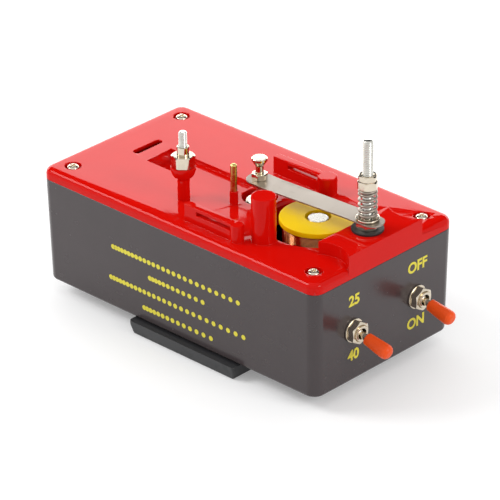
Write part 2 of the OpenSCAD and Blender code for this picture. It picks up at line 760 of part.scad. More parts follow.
module post_sleeve() color(lid_red) translate([post_x, post_y, z_top]) difference() {
    rotate_extrude() polygon([
        [0, 0], [stem_r, 0], [stem_r, post_h * 0.61], [stem_r + 0.3, post_h * 0.645],
        [post_r - 0.9, post_h * 0.72], [post_r - 0.3, post_h * 0.81], [post_r, post_h * 0.92],
        [post_r, post_h], [0, post_h]]);
    translate([0, 0, -1]) cylinder(r = stud_r + fit, h = post_h + 2);
}

module post_stud() color(zinc) translate([post_x, post_y, z_under - 6]) {
    shank = 6 + lid_t + stud_h - 0.4;
    cylinder(r = stud_r, h = shank);
    translate([0, 0, shank]) cylinder(r1 = stud_r, r2 = stud_r - 0.4, h = 0.4);
}

module post_nut() color(nickel) translate([post_x, post_y, z_top + post_h]) rotate(-post_nut_turn)
    nut(8, post_nut_t, stud_r + fit);

module post_collar() color(nickel) translate([post_x, post_y, z_top + post_h + post_nut_t])
    washer(2.3, 3.4, stud_r + fit);

module post_lower_nut() color(nickel) translate([post_x, post_y, z_under - 2.4])
    nut(5.5, 2.4, stud_r + fit);

// ---------- switches ----------

// Local +Z points out of the switch end, and local +X points down
module at_switch(side)
    translate([end_x - case_draft * switch_drop / case_h, side * switch_y, z_switch])
        rotate([0, 90, 0]) children();

module switch_body(side) at_switch(side) {
    depth = case_wall + part_gap + frame_t;
    translate([-switch_case_h / 2, -switch_case_w / 2, -depth - switch_case_l])
        cube([switch_case_h, switch_case_w, switch_case_l]);
    for (place = [-1, 0, 1])
        translate([place * 4.7 - 1, -0.4, -depth - switch_case_l - pin_len]) cube([2, 0.8, pin_len + 1]);
}

module switch_bushing(side) at_switch(side) difference() {
    depth = case_wall + part_gap;
    union() {
        translate([0, 0, -depth - sliver]) cylinder(r = bushing_r, h = depth + bushing_out);
        translate([-switch_case_h / 2, -switch_case_w / 2 - 0.3, -depth - frame_t])
            cube([switch_case_h, switch_case_w + 0.6, frame_t]);
    }
    translate([0, 0, -depth + 0.5]) cylinder(r = lever_bore_r, h = depth + bushing_out);
}

module switch_washer(side) at_switch(side) translate([0, 0, switch_stand])
    washer(bushing_af / 2 + 0.6, switch_washer_t, bushing_r + fit);

module switch_nut(side) at_switch(side) translate([0, 0, switch_stand + switch_washer_t])
    nut(bushing_af, switch_nut_t, bushing_r + fit);

// The lever turns on its ball in the bushing, and rests tilted down
module lever(side) at_switch(side) translate([0, 0, lever_pivot_out]) rotate([0, lever_tilt, 0]) {
    sphere(lever_ball_r);
    translate([0, 0, -tail_below]) cylinder(r = 0.7, h = tail_below);
    cylinder(r1 = lever_neck_r, r2 = lever_tip_r, h = lever_l - 2);
}

module lever_sleeve(side) at_switch(side) translate([0, 0, lever_pivot_out]) rotate([0, lever_tilt, 0])
    difference() {
        rotate_extrude() polygon([
            [0, lever_l - sleeve_l], [sleeve_r - 0.7, lever_l - sleeve_l],
            [sleeve_r - 0.5, lever_l - sleeve_l + 0.3], [sleeve_r, lever_l - 3],
            [sleeve_r, lever_l - 1.6], [sleeve_r - 0.3, lever_l - 0.8],
            [sleeve_r - 0.8, lever_l - 0.25], [sleeve_r - 1.5, lever_l], [0, lever_l]]);
        translate([0, 0, -sliver])
            cylinder(r1 = lever_neck_r + fit, r2 = lever_tip_r + fit, h = lever_l - 2 + fit);
    }

module rate_switch_body() color([0.15, 0.22, 0.55]) switch_body(-1);
module rate_switch_bushing() color(nickel) switch_bushing(-1);
module rate_switch_washer() color(nickel) switch_washer(-1);
module rate_switch_nut() color(nickel) switch_nut(-1);
module rate_lever() color(nickel) lever(-1);
module rate_lever_sleeve() color(sleeve_red) lever_sleeve(-1);
module power_switch_body() color([0.15, 0.22, 0.55]) switch_body(1);
module power_switch_bushing() color(nickel) switch_bushing(1);
module power_switch_washer() color(nickel) switch_washer(1);
module power_switch_nut() color(nickel) switch_nut(1);
module power_lever() color(nickel) lever(1);
module power_lever_sleeve() color(sleeve_red) lever_sleeve(1);

// ---------- supply sockets ----------

// Local +Z points out of the plain end
socket_z = z_switch + 3;
socket_face_x = -end_x + case_draft * (z_joint - socket_z) / case_h;
module at_socket(side) translate([socket_face_x, side * socket_pitch / 2, socket_z])
    rotate([0, -90, 0]) children();

module socket(side) at_socket(side) difference() {
    union() {
        translate([0, 0, -socket_body_l + 3]) cylinder(r = socket_body_r, h = socket_body_l - 3 + switch_stand);
        translate([0, 0, switch_stand]) cylinder(r = socket_flange_r, h = socket_flange_t - 0.6);
        translate([0, 0, switch_stand + socket_flange_t - 0.6])
            cylinder(r1 = socket_flange_r, r2 = socket_flange_r - 0.8, h = 0.6);
    }
    translate([0, 0, -socket_body_l])
        cylinder(r = socket_bore_r + socket_tube_wall + fit, h = socket_body_l + 9);
}

module positive_socket() color([0.75, 0.05, 0.05]) socket(1);
module negative_socket() color(black) socket(-1);

module socket_contacts() color(nickel) for (side = [-1, 1]) at_socket(side) difference() {
    translate([0, 0, -socket_body_l])
        cylinder(r = socket_bore_r + socket_tube_wall, h = socket_body_l + socket_flange_t - 0.8);
    translate([0, 0, -socket_body_l + 1.5]) cylinder(r = socket_bore_r, h = socket_body_l + 9);
}

module socket_nuts() color(black) for (side = [-1, 1]) at_socket(side)
    translate([0, 0, -case_wall - part_gap - 3]) nut(11, 3, socket_body_r + fit);

// ---------- circuit board ----------

z_parts = z_board + board_t;

module circuit_board() color([0.10, 0.35, 0.18]) difference() {
    translate([board_mid_x, 0, z_board]) linear_extrude(board_t) round_rect(board_l, board_w, 1.5);
    at_board_holes() translate([0, 0, z_board - 1]) cylinder(r = board_hole_r, h = board_t + 2);
}

module board_screws() color(nickel) at_board_holes() translate([0, 0, z_parts])
    pan_screw(2.2, 1.5, board_hole_r - fit, board_t + 4);

module timing_chip() color(black) translate([board_mid_x + 2, 0, z_parts]) {
    translate([-4.8, -3.2, 0.5]) cube([9.6, 6.4, 3.3]);
    for (row = [-1, 1], leg = [0 : 3])
        translate([-4.2 + 2.54 * leg, row * 3.8 - 0.25, 0]) cube([0.5, 0.5, 2]);
    for (row = [-1, 1], leg = [0 : 3])
        translate([-4.2 + 2.54 * leg, row > 0 ? 3 : -4.05, 1.6]) cube([0.5, 1.05, 0.4]);
}

module power_transistor() color(black) translate([board_mid_x + 18, -12, z_parts]) {
    translate([-2.2, -5, 3]) cube([4.4, 10, 9]);
    translate([0.9, -5, 12 - sliver]) cube([1.3, 10, 6.4]);
    for (leg = [-1, 0, 1]) translate([-0.4, leg * 2.54 - 0.4, 0]) cube([0.5, 0.8, 3 + sliver]);
}

module capacitor(r, h) rotate_extrude() polygon([
    [0, 0], [r - 0.3, 0], [r, 0.3], [r, 1.4], [r - 0.25, 1.7], [r, 2], [r, h - 0.3], [r - 0.3, h], [0, h]]);

module capacitors() color([0.12, 0.14, 0.30]) {
    translate([board_mid_x - 3, 13, z_parts]) capacitor(4, 12);
    translate([board_mid_x + 8, 13, z_parts]) capacitor(3.15, 11);
    translate([board_mid_x - 13, 14, z_parts]) cube([7.2, 2.6, 6], center = false);
}

// A resistor lying on the board, with its two legs bent down
module resistor() {
    translate([0, -3.2, 1.4]) rotate([-90, 0, 0]) cylinder(r = 1.15, h = 6.4, $fn = 24);
    translate([0, -5.1, 1.4]) rotate([-90, 0, 0]) cylinder(r = 0.3, h = 10.2, $fn = 16);
    for (end = [-1, 1]) translate([0, end * 4.8, 0]) cylinder(r = 0.3, h = 1.4, $fn = 16);
}

module resistors() color([0.80, 0.68, 0.45]) for (i = [0 : 4])
    translate([board_mid_x - 14 + 4.2 * i, -13, z_parts]) resistor();

module rate_trimmers() color([0.12, 0.25, 0.60]) for (i = [0, 1])
    translate([board_mid_x + 17, 4 + 9 * i, z_parts]) difference() {
        union() {
            translate([-3.3, -3.3, 0]) cube([6.6, 6.6, 4]);
            translate([0, 0, 4 - sliver]) cylinder(r = 2, h = 0.8);
        }
        translate([-1.5, -0.3, 4.2]) cube([3, 0.6, 1]);
    }

// ---------- leads inside the case ----------

// A lead bends between two straight ends, each square to what it meets
module lead(a, a_way, a_reach, d, d_way, d_reach) {
    a1 = a + 2 * lead_r * a_way;
    d1 = d + 2 * lead_r * d_way;
    middle = bezier(a1, a1 + a_reach, d1 + d_reach, d1, lead_rings);
    tube(concat([a], middle, [d]), lead_r, lead_sides, [0, 1, 0.2]);
}
board_edge_x = board_mid_x + board_l / 2 - 1.5;
z_lead = z_parts + 0.05;

module coil_leads() color([0.70, 0.10, 0.08]) for (side = [-1, 1]) {
    start_x = magnet_x - sqrt(bobbin_r * bobbin_r - 25) - 0.4;
    lead([start_x, side * 5, z_yoke + 1], [-1, 0, 0], [-12, 0, 0],
        [board_edge_x, side * 3, z_lead], [0, 0, 1], [0, 0, 12]);
}

module switch_leads() color([0.15, 0.15, 0.16]) for (side = [-1, 1], pin = [0, 1]) {
    start = [end_x - case_draft * switch_drop / case_h - case_wall - part_gap - frame_t
        - switch_case_l - pin_len - 0.1, side * switch_y, z_switch - 4.7 * pin];
    lead(start, [-1, 0, 0], [-24, 0, 0],
        [board_edge_x, side * (9 + 3 * pin), z_lead], [0, 0, 1], [0, 0, 11]);
}

module supply_leads() color([0.70, 0.10, 0.08]) for (side = [-1, 1]) {
    lead([socket_face_x + socket_body_l + 0.1, side * socket_pitch / 2, socket_z], [1, 0, 0], [8, 0, 0],
        [board_mid_x - board_l / 2 + 8, side * 15, z_lead], [0, 0, 1], [0, 0, 8]);
}

base_case();
foot_plate();
foot_screws();
lid();
lid_screws();
pivot_rod();
pivot_washer();
pivot_seat_nut();
pivot_lower_nut();
spring_washer();
pivot_spring();
tension_nut();
lock_nut();
vibrating_strip();
striker_nuts();
striker_screw();
anvil();
anvil_nut();
bobbin();
winding_core();
winding_wire();
magnet_core();
magnet_yoke();
core_screw();
yoke_screws();
disc_pin();
post_sleeve();
post_stud();
post_nut();
post_collar();
post_lower_nut();
rate_switch_body();
rate_switch_bushing();
rate_switch_washer();
rate_switch_nut();
rate_lever();
rate_lever_sleeve();
power_switch_body();
power_switch_bushing();
power_switch_washer();
power_switch_nut();
power_lever();
power_lever_sleeve();
positive_socket();
negative_socket();
socket_contacts();
socket_nuts();
circuit_board();
board_screws();
timing_chip();
power_transistor();
capacitors();
resistors();
rate_trimmers();
coil_leads();
switch_leads();
supply_leads();
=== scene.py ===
# %% [markdown]
# # A ticker timer in Blender
# A ticker timer marks dots on a paper tape at an even beat. An electromagnet in the box pulls a springy
# steel strip down, the striker at its tip hits the tape, and the spring on the rod lifts it again.
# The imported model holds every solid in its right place, in metres. This script keeps that frame, gives the
# hard parts soft edges and real threads, and builds the finishes.

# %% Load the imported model
import json
import math

import bmesh
import bpy
from mathutils import Matrix, Vector
from mathutils.bvhtree import BVHTree

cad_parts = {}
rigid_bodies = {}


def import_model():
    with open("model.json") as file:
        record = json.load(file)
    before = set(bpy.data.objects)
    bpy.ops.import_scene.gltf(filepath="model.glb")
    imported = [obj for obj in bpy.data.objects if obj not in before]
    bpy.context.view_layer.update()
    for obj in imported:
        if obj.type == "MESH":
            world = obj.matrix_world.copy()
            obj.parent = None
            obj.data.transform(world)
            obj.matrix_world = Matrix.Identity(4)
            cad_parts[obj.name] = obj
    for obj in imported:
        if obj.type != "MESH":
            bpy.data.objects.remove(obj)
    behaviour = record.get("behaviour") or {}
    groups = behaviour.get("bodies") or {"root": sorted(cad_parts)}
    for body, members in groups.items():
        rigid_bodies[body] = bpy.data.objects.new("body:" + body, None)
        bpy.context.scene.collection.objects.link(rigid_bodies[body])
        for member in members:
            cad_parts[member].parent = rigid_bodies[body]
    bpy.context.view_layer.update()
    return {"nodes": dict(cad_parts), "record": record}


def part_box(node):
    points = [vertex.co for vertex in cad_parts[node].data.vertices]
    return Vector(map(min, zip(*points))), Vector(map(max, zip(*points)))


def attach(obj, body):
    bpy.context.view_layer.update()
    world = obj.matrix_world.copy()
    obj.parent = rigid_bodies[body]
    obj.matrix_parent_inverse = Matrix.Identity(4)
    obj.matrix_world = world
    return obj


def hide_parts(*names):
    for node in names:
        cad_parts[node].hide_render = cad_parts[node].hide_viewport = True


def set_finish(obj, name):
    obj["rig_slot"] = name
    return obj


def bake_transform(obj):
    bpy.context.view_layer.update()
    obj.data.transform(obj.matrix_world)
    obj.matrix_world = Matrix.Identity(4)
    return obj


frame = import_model()
nodes = frame["nodes"]
mm = 0.001

# %% [markdown]
# ## The camera
# The camera was fitted to the corners of the case. Turn, tilt and roll give the direction it looks from,
# and three lengths move it along its own right, up and back. A long lens keeps the case's edges almost
# parallel, as they are in the photograph.

# %% Place the camera
foot_height = 5.5 * mm
turn, tilt, roll = (math.radians(a) for a in (43.906, 27.960, -0.596))
camera_aside, camera_lift, camera_distance = 1.438 * mm, 19.431 * mm, 1384.73 * mm
back = Vector((math.sin(turn) * math.cos(tilt), -math.cos(turn) * math.cos(tilt), math.sin(tilt)))
level = Vector((math.cos(turn), math.sin(turn), 0))
above = back.cross(level)
right = level * math.cos(roll) + above * math.sin(roll)
up = above * math.cos(roll) - level * math.sin(roll)
camera_data = bpy.data.cameras.new("camera")
camera_data.lens, camera_data.sensor_width = 265.15, 36
camera_data.clip_start, camera_data.clip_end = 0.1, 20
camera_data.dof.use_dof = False
camera = bpy.data.objects.new("camera", camera_data)
place = right * camera_aside + up * camera_lift + back * camera_distance + Vector((0, 0, foot_height))
camera.matrix_world = Matrix.Translation(place) @ Matrix((right, up, back)).transposed().to_4x4()
bpy.context.scene.collection.objects.link(camera)
bpy.context.scene.camera = camera
print("camera at", [round(x, 3) for x in place])

# %% [markdown]
# ## Small tools for making pieces
# Two helpers serve every piece. One turns a bmesh into an object and ties it to its body, its finish and
# the solids it stands for. The other fetches the middle and corners of a solid, so no place is typed twice.
# Points closer than a weld are merged, and a face or edge thinner than a sliver is dissolved.

# %% Helpers for pieces
weld, fine_weld, sliver = 2e-6, 1e-6, 1e-5


def piece_from(bm, name, body, slot, stands_for=(), smooth_under=40):
    """Makes an object of a bmesh. Edges that turn by fewer degrees than smooth_under are shaded smooth."""
    mesh = bpy.data.meshes.new(name)
    bm.to_mesh(mesh)
    bm.free()
    mesh.shade_smooth()
    mesh.set_sharp_from_angle(angle=math.radians(smooth_under))
    obj = bpy.data.objects.new(name, mesh)
    bpy.context.scene.collection.objects.link(obj)
    if body:
        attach(obj, body)
    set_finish(obj, slot)
    if stands_for:
        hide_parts(*stands_for)
    return obj


def solid(name):
    """Middle, lowest corner and highest corner of a solid, in metres."""
    low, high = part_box(name)
    return (low + high) / 2, low, high


record = frame["record"]
slot_of = {s["node"]: s["material_slot"] for s in record["subparts"]}
body_of = {n: body for body, names in record["behaviour"]["bodies"].items() for n in names}

# %% [markdown]
# ## Soft edges
# No moulded or turned edge is knife sharp, and the thin bright line along an edge is what makes a render
# look real. Each hard solid is copied, its loose triangles are merged, flat triangles are joined to whole
# faces, and the edges get a narrow bevel. A face may be too thin for its bevel, and a corner could shoot
# out there, so each corner that lands off the solid is put back on it. The solid itself stays hidden.


# %% Choose the edges of a solid
least_angle = math.radians(30)
least_depth = 1.6
lid_wall_x, lid_wall_y, lid_underside = 69 * mm, 36.5 * mm, 49.8 * mm


def depth_behind(face, edge):
    """How far a face reaches from one of its edges."""
    start, along = edge.verts[0].co, (edge.verts[1].co - edge.verts[0].co).normalized()
    return max(((v.co - start) - along * (v.co - start).dot(along)).length for v in face.verts)


def seen_on_lid(point):
    """The lid's upper side and outer walls. What lies under it stays sharp, because nobody sees it."""
    return point.z > lid_underside or abs(point.x) > lid_wall_x or abs(point.y) > lid_wall_y


def edges_to_soften(bm, node, width):
    """The sharp edges whose two faces have room for a bevel of this width."""
    return [e for e in bm.edges if len(e.link_faces) == 2
            and (node != "lid" or all(seen_on_lid(v.co) for v in e.verts))
            and e.calc_face_angle(0) > least_angle
            and min(depth_behind(f, e) for f in e.link_faces) > least_depth * width]


# %% Copy a solid with soft edges
furthest_off = 0.6


def flat_shading_wins(obj):
    """Lets the large faces set the shading, so that they look flat and only the bevels turn."""
    weigh = obj.modifiers.new("weigh", "WEIGHTED_NORMAL")
    weigh.keep_sharp, weigh.weight = True, 100
    bpy.context.view_layer.update()
    mesh = bpy.data.meshes.new_from_object(obj.evaluated_get(bpy.context.evaluated_depsgraph_get()))
    obj.modifiers.clear()
    old, obj.data = obj.data, mesh
    bpy.data.meshes.remove(old)
    mesh.name = obj.name


def soft_copy(node, width):
    """A copy of a solid whose sharp edges are rounded by width, in metres."""
    bm = bmesh.new()
    bm.from_mesh(nodes[node].data)
    bmesh.ops.remove_doubles(bm, verts=bm.verts, dist=weld)
    bmesh.ops.dissolve_degenerate(bm, dist=sliver, edges=bm.edges)
    surface = BVHTree.FromBMesh(bm)
    bmesh.ops.dissolve_limit(bm, angle_limit=math.radians(1), verts=bm.verts, edges=bm.edges)
    bmesh.ops.bevel(bm, geom=edges_to_soften(bm, node, width), offset=width, offset_type="OFFSET",
                    affect="EDGES", segments=2, profile=0.5, material=-1, clamp_overlap=False)
    for v in bm.verts:
        nearest, _, _, away = surface.find_nearest(v.co)
        if away > furthest_off * width:
            v.co = nearest
    bmesh.ops.dissolve_degenerate(bm, dist=fine_weld, edges=bm.edges)
    bmesh.ops.triangulate(bm, faces=[f for f in bm.faces if len(f.verts) > 4])
    obj = piece_from(bm, "soft_" + node, body_of[node], slot_of[node], [node], 50)
    flat_shading_wins(obj)
    return obj


# %% [markdown]
# A thick moulding has a rounder edge than a thin washer or a rolled strip. The widths are in millimetres.

# %% Soften the hard parts
edge_widths = {
    "base_case": 0.3, "lid": 0.22, "foot_plate": 0.25, "bobbin": 0.25, "lid_screws": 0.15,
    "pivot_washer": 0.15, "spring_washer": 0.15, "anvil": 0.15,
    "magnet_core": 0.15, "post_sleeve": 0.15, "post_collar": 0.12,
    "vibrating_strip": 0.08, "disc_pin": 0.1, "magnet_yoke": 0.3,
    "rate_switch_washer": 0.1, "power_switch_washer": 0.1,
    "rate_switch_bushing": 0.1, "power_switch_bushing": 0.1,
    "rate_switch_body": 0.3, "power_switch_body": 0.3,
    "positive_socket": 0.25, "negative_socket": 0.25,
    "capacitors": 0.3, "timing_chip": 0.1, "power_transistor": 0.15, "rate_trimmers": 0.2,
    "board_screws": 0.1, "foot_screws": 0.1, "core_screw": 0.12, "yoke_screws": 0.1}
soft = {node: soft_copy(node, width * mm) for node, width in edge_widths.items()}
print(len(soft), "soft copies,", sum(len(o.data.polygons) for o in soft.values()), "faces")

# %% [markdown]
# ## Nuts
# A hexagon nut is cut from a hexagon bar: its corners are turned off at a slant, which leaves a round edge
# on each face and a small arc on each flat. A plain six-sided prism would lack those arcs. Here one ring of
# points is extruded from the hole, over the foot and up the flats, and back into the hole. At each step the
# ring takes the radius and the height that the cut gives at its angle.


# %% Make a hexagon nut
nut_points = 72
nut_rings = 8
nut_slant = math.tan(math.radians(30))
nut_face_share = 0.96
nut_corner_share = 1.135
nut_lead_in = 0.3 * mm


def nut_outline(angle, across_flats):
    """The hexagon's radius at an angle, with its six corners rounded a little."""
    off_flat = math.pi / 6 - abs((angle + math.pi / 6) % (math.pi / 3) - math.pi / 6)
    return min(across_flats / 2 / math.cos(off_flat), across_flats / 2 * nut_corner_share)


def nut_section(angle, across_flats, thickness, hole):
    """The radius and height of each ring at an angle, from the hole round the outside and back."""
    outline = nut_outline(angle, across_flats)
    face, mouth = across_flats / 2 * nut_face_share, hole + nut_lead_in
    drop = (outline - face) * nut_slant
    return ((hole, nut_lead_in), (mouth, 0), (face, 0), (outline, drop), (outline, thickness - drop),
            (face, thickness), (mouth, thickness), (hole, thickness - nut_lead_in))


def hex_nut(bm, across_flats, thickness, hole, carry):
    """Adds one nut to bm. It is made round Z with its foot at 0, a corner on X, and then carried."""
    ring = bmesh.ops.create_circle(bm, segments=nut_points, radius=hole)["verts"]
    made = list(ring)
    edges = first_edges = [e for e in bm.edges if e.is_wire]
    for step in range(nut_rings):
        if step:
            grown = bmesh.ops.extrude_edge_only(bm, edges=edges)["geom"]
            ring = [g for g in grown if isinstance(g, bmesh.types.BMVert)]
            edges = [g for g in grown if isinstance(g, bmesh.types.BMEdge) and g.verts[0] in ring
                     and g.verts[1] in ring]
            made += ring
        for v in ring:
            angle = math.atan2(v.co.y, v.co.x)
            radius, height = nut_section(angle, across_flats, thickness, hole)[step]
            v.co = (radius * math.cos(angle), radius * math.sin(angle), height)
    bmesh.ops.bridge_loops(bm, edges=first_edges + edges)
    bmesh.ops.transform(bm, matrix=carry, verts=made)


# %% [markdown]
# The real nuts stand as they were tightened, so one of them is turned a little. The two on the striker share
# one node: the lower one holds the strip from below and the upper one from above. The switches' nuts lie on
# their side, round X. Each hole has a hair of room round its thread.

# %% Replace the nuts
hole_room = 0.03 * mm
pivot_radius, stud_radius = 2 * mm, 1.6 * mm
bushing_radius, striker_radius = 3 * mm, 1.5 * mm
striker_nut = 2.4 * mm
post_nut_turn, post_nut_flats = -18, 8 * mm


def nut_piece(node, bolt_radius, sideways=False, turned=0, across_flats=None, feet=None, thickness=None):
    """Replaces a nut's solid. feet lists the heights where one node holds several nuts."""
    middle, low, high = solid(node)
    if sideways:
        thickness = high.x - low.x
        spots = [Matrix.Translation((low.x, middle.y, middle.z)) @ Matrix.Rotation(math.pi / 2, 4, "Y")]
    else:
        thickness = thickness or high.z - low.z
        spots = [Matrix.Translation((middle.x, middle.y, z)) for z in feet or [low.z]]
    bm = bmesh.new()
    for spot in spots:
        hex_nut(bm, across_flats or high.y - low.y, thickness, bolt_radius + hole_room,
                spot @ Matrix.Rotation(math.radians(turned), 4, "Z"))
    bmesh.ops.recalc_face_normals(bm, faces=bm.faces)
    return piece_from(bm, "turned_" + node, body_of[node], slot_of[node], [node], 25)


striker_low, striker_high = solid("striker_nuts")[1:]
nuts = [nut_piece(node, pivot_radius) for node in (
    "pivot_seat_nut", "pivot_lower_nut", "tension_nut", "lock_nut", "anvil_nut")]
nuts.append(nut_piece("post_nut", stud_radius, turned=post_nut_turn, across_flats=post_nut_flats))
nuts += [nut_piece(node, bushing_radius, sideways=True) for node in ("rate_switch_nut", "power_switch_nut")]
nuts.append(nut_piece("striker_nuts", striker_radius, thickness=striker_nut,
                      feet=[striker_low.z, striker_high.z - striker_nut]))
print(len(nuts), "nut pieces")

# %% [markdown]
# ## Screw threads
# A thread is one small tooth that climbs as it goes round. Blender's spin does just that: it turns a
# profile about an axis and lifts it a little at each step. One turn is enough, because an Array modifier
# stacks equal turns and welds them. The stack is cut level at both ends, closed, and tapered there.


# %% Stack equal turns
def stacked(turn_bm, count, rise):
    """Takes one turn and returns count of them, each a rise higher, welded into one bmesh."""
    mesh = bpy.data.meshes.new("turn")
    turn_bm.to_mesh(mesh)
    turn_bm.free()
    obj = bpy.data.objects.new("turn", mesh)
    bpy.context.scene.collection.objects.link(obj)
    array = obj.modifiers.new("turns", "ARRAY")
    array.count, array.use_relative_offset, array.use_constant_offset = count, False, True
    array.constant_offset_displace = (0, 0, rise)
    array.use_merge_vertices, array.merge_threshold = True, weld
    bpy.context.view_layer.update()
    bm = bmesh.new()
    bm.from_mesh(obj.evaluated_get(bpy.context.evaluated_depsgraph_get()).to_mesh())
    bpy.data.objects.remove(obj)
    bpy.data.meshes.remove(mesh)
    return bm


def close_loops(bm):
    """Closes every open rim with a face."""
    bmesh.ops.holes_fill(bm, edges=[e for e in bm.edges if e.is_boundary])


# %% Turn a threaded rod
thread_steps = 24
taper_slope = 0.9
spare_turns = 3


def thread_tooth(radius, depth):
    """One tooth's profile: the radius of each corner, and its height as a share of the pitch."""
    return (radius, 0), (radius, 0.18), (radius - depth, 0.5), (radius - depth, 0.62), (radius, 1)


def cut_level(bm, low, high):
    """Cuts off what stands past the heights low and high."""
    for height, way in ((low, -1), (high, 1)):
        bmesh.ops.bisect_plane(bm, geom=bm.verts[:] + bm.edges[:] + bm.faces[:], dist=1e-7,
                               plane_co=(0, 0, height), plane_no=(0, 0, way), clear_outer=True)


def threaded_rod(name, node, radius, pitch, depth, taper):
    """Replaces a plain rod by one with a thread from end to end, tapered over a short way at each end."""
    middle, low, high = solid(node)
    bm = bmesh.new()
    first = low.z - (spare_turns - 1) * pitch
    points = [bm.verts.new((r, 0, first + share * pitch)) for r, share in thread_tooth(radius, depth)]
    edges = [bm.edges.new(pair) for pair in zip(points, points[1:])]
    bmesh.ops.spin(bm, geom=points + edges, cent=(0, 0, 0), axis=(0, 0, 1),
                   dvec=(0, 0, pitch / thread_steps), angle=2 * math.pi, steps=thread_steps,
                   use_duplicate=False)
    bm = stacked(bm, math.ceil((high.z - low.z) / pitch) + spare_turns, pitch)
    bmesh.ops.remove_doubles(bm, verts=bm.verts, dist=weld)
    cut_level(bm, low.z, high.z)
    close_loops(bm)
    for v in bm.verts:
        limit = radius - max(0, taper - min(v.co.z - low.z, high.z - v.co.z)) * taper_slope
        around = math.hypot(v.co.x, v.co.y)
        if around > limit:
            v.co.x, v.co.y = v.co.x * limit / around, v.co.y * limit / around
    bmesh.ops.recalc_face_normals(bm, faces=bm.faces)
    bmesh.ops.translate(bm, verts=bm.verts, vec=(middle.x, middle.y, 0))
    return piece_from(bm, name, body_of[node], slot_of[node], [node], 60)


# %% [markdown]
# The pivot rod and the post's stud have fine threads, whose teeth are about half as deep as the pitch is
# long. The tooth stays inside the plain rod, so nothing grows past the solid.

# %% Replace the pivot rod and the post's stud
pivot_pitch, pivot_depth, pivot_taper = 0.7 * mm, 0.32 * mm, 0.5 * mm
stud_pitch, stud_depth, stud_taper = 0.6 * mm, 0.28 * mm, 0.4 * mm
threads = [threaded_rod("threaded_pivot", "pivot_rod", pivot_radius, pivot_pitch, pivot_depth, pivot_taper),
           threaded_rod("threaded_stud", "post_stud", stud_radius, stud_pitch, stud_depth, stud_taper)]
print("threads:", [len(o.data.polygons) for o in threads], "faces")

# %% [markdown]
# ## Springs and windings
# A wound wire is a small circle that is spun in the same way as a thread. The pivot's spring has a closed
# coil at each end, so it stands square on its washer. The magnet's winding lies turn against turn.


# %% Wind a wire
def wound_stretch(coil_radius, wire_radius, start, turns, pitch, steps, sides):
    """A loose mesh of whole turns round Z, whose first turn's middle lies at the height start."""
    bm = bmesh.new()
    on_edge = Matrix.Translation((coil_radius, 0, start)) @ Matrix.Rotation(math.pi / 2, 4, "X")
    bmesh.ops.create_circle(bm, segments=sides, radius=wire_radius, matrix=on_edge, cap_ends=False)
    bmesh.ops.spin(bm, geom=bm.verts[:] + bm.edges[:], cent=(0, 0, 0), axis=(0, 0, 1),
                   dvec=(0, 0, pitch / steps), angle=2 * math.pi, steps=steps, use_duplicate=False)
    bm = stacked(bm, turns, pitch)
    loose = bpy.data.meshes.new("stretch")
    bm.to_mesh(loose)
    bm.free()
    return loose


def wound_wire(name, node, body, slot, coil_radius, wire_radius, stretches, steps, sides):
    """stretches is a list of (whole turns, pitch). The first turn stands on the solid's foot."""
    middle, low, _ = solid(node)
    whole, start = bmesh.new(), low.z + wire_radius
    for turns, pitch in stretches:
        loose = wound_stretch(coil_radius, wire_radius, start, turns, pitch, steps, sides)
        whole.from_mesh(loose)
        bpy.data.meshes.remove(loose)
        start += turns * pitch
    bmesh.ops.remove_doubles(whole, verts=whole.verts, dist=weld)
    close_loops(whole)
    bmesh.ops.recalc_face_normals(whole, faces=whole.faces)
    bmesh.ops.translate(whole, verts=whole.verts, vec=(middle.x, middle.y, 0))
    obj = piece_from(whole, name, body, slot, [node], 60)
    heights = [v.co.z for v in obj.data.vertices]
    print(name, "from", round(min(heights) / mm, 2), "to", round(max(heights) / mm, 2), "mm")
    return obj


# %% [markdown]
# The spring stands on its washer and carries the tension nut, which moves along the rod.
# Here it is wound at rest and tied to no body.

# %% Wind the spring
spring_radius, spring_wire = 3.13 * mm, 0.5 * mm
end_turns, end_pitch = 1, 1.02 * mm
open_turns = 4
low, high = solid("pivot_spring")[1:]
foot, head = low.z + spring_wire, high.z - spring_wire
open_pitch = (head - foot - 2 * end_turns * end_pitch) / open_turns
spring = wound_wire("wound_spring", "pivot_spring", None, "spring_steel", spring_radius, spring_wire,
                    [(end_turns, end_pitch), (open_turns, open_pitch), (end_turns, end_pitch)], 32, 12)
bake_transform(spring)

# %% [markdown]
# The magnet's coil is one layer of copper wire round the plain inner layers. The number of turns follows from
# the height of the bobbin and the wire's thickness, and the pitch is then spread to fill that height.

# %% Wind the magnet's coil
coil_wire, coil_gap = 0.235 * mm, 0.01 * mm
low, high = solid("winding_wire")[1:]
coil_room = high.z - low.z - 2 * coil_wire
coil_turns = math.floor(coil_room / (2 * coil_wire + coil_gap))
wound_wire("wound_coil", "winding_wire", "timer_case", "enamelled_wire", (high.x - low.x) / 2 - coil_wire,
           coil_wire, [(coil_turns, coil_room / coil_turns)], 64, 6)
print("coil of", coil_turns, "turns")

# %% [markdown]
# ## Wires in the case
# Each lead leaves its part straight, bends once and drops onto the board. A Bezier curve with two handles
# has exactly that shape, so each lead is one curve with a round section, turned into a mesh. A short
# straight stretch at each end keeps the curve's ends square to the part and to the board.


# %% Shape one lead
lead_radius = 0.6
lead_straight = 2 * lead_radius
straight_handle = 0.4


